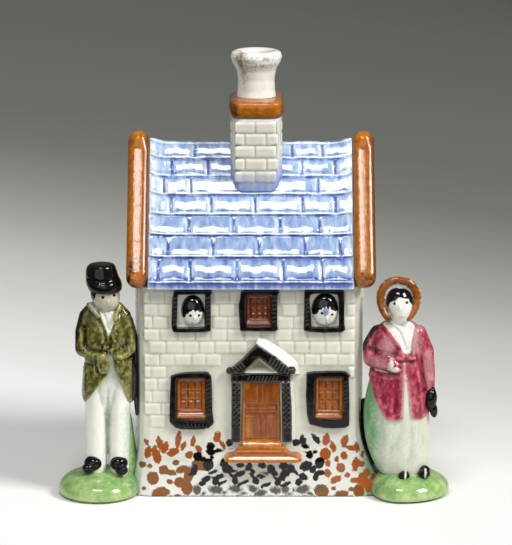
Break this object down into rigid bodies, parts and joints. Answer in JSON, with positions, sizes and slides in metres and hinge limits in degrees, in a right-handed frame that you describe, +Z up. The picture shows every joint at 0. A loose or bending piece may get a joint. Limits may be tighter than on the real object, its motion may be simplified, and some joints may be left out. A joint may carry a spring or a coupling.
{
  "type": "cottage money box",
  "caption": "Painted and glazed pottery money box: stone cottage with slate roof, chimney, coin slot at the back, and a figure on a mound at each side.",
  "frame": {"origin": "middle of the bottom of the whole piece, on the standing plane", "axes": "+Z up to the chimney pot, +Y from the front of the cottage to its back, +X to the woman's side"},
  "size_m": [0.1196, 0.0678, 0.1328],
  "materials": {
    "stone_wall": "cream-white pearlware glaze over moulded clay",
    "slate_roof": "pearlware glaze over thin cobalt-blue wash",
    "ochre_trim": "ochre-orange underglaze colour, glossy",
    "black_trim": "brown-black underglaze colour, glossy",
    "amber_joinery": "amber-brown underglaze colour, glossy",
    "grass": "yellow-green underglaze colour, glossy",
    "coat_olive": "mottled olive underglaze colour, glossy",
    "jacket_crimson": "crimson-pink enamel, glossy",
    "pot_white": "plain white glaze, thin and a little rubbed"
  },
  "bodies": {
    "root": {"floor_slab": "stone_wall", "front_wall": "stone_wall", "back_wall": "stone_wall", "left_gable_wall": "stone_wall", "right_gable_wall": "stone_wall", "chimney_stack": "stone_wall", "left_window_face": "stone_wall", "right_window_face": "stone_wall", "man_trousers": "stone_wall", "man_shirt_front": "stone_wall", "man_head": "stone_wall", "woman_skirt": "stone_wall", "woman_kerchief": "stone_wall", "woman_head": "stone_wall", "front_roof_slope": "slate_roof", "back_roof_slope": "slate_roof", "left_barge_roll": "ochre_trim", "right_barge_roll": "ochre_trim", "chimney_cap": "ochre_trim", "woman_bonnet": "ochre_trim", "upper_left_window_frame": "black_trim", "upper_middle_window_frame": "black_trim", "upper_right_window_frame": "black_trim", "lower_left_window_frame": "black_trim", "lower_right_window_frame": "black_trim", "left_door_pilaster": "black_trim", "right_door_pilaster": "black_trim", "door_lintel": "black_trim", "door_pediment": "black_trim", "man_left_shoe": "black_trim", "man_right_shoe": "black_trim", "man_hat": "black_trim", "woman_left_shoe": "black_trim", "woman_right_shoe": "black_trim", "woman_bag": "black_trim", "upper_middle_casement": "amber_joinery", "lower_left_casement": "amber_joinery", "lower_right_casement": "amber_joinery", "door_leaf": "amber_joinery", "doorstep": "amber_joinery", "man_mound": "grass", "woman_mound": "grass", "man_tailcoat": "coat_olive", "woman_jacket": "jacket_crimson", "chimney_pot": "pot_white"}
  },
  "joints": []
}
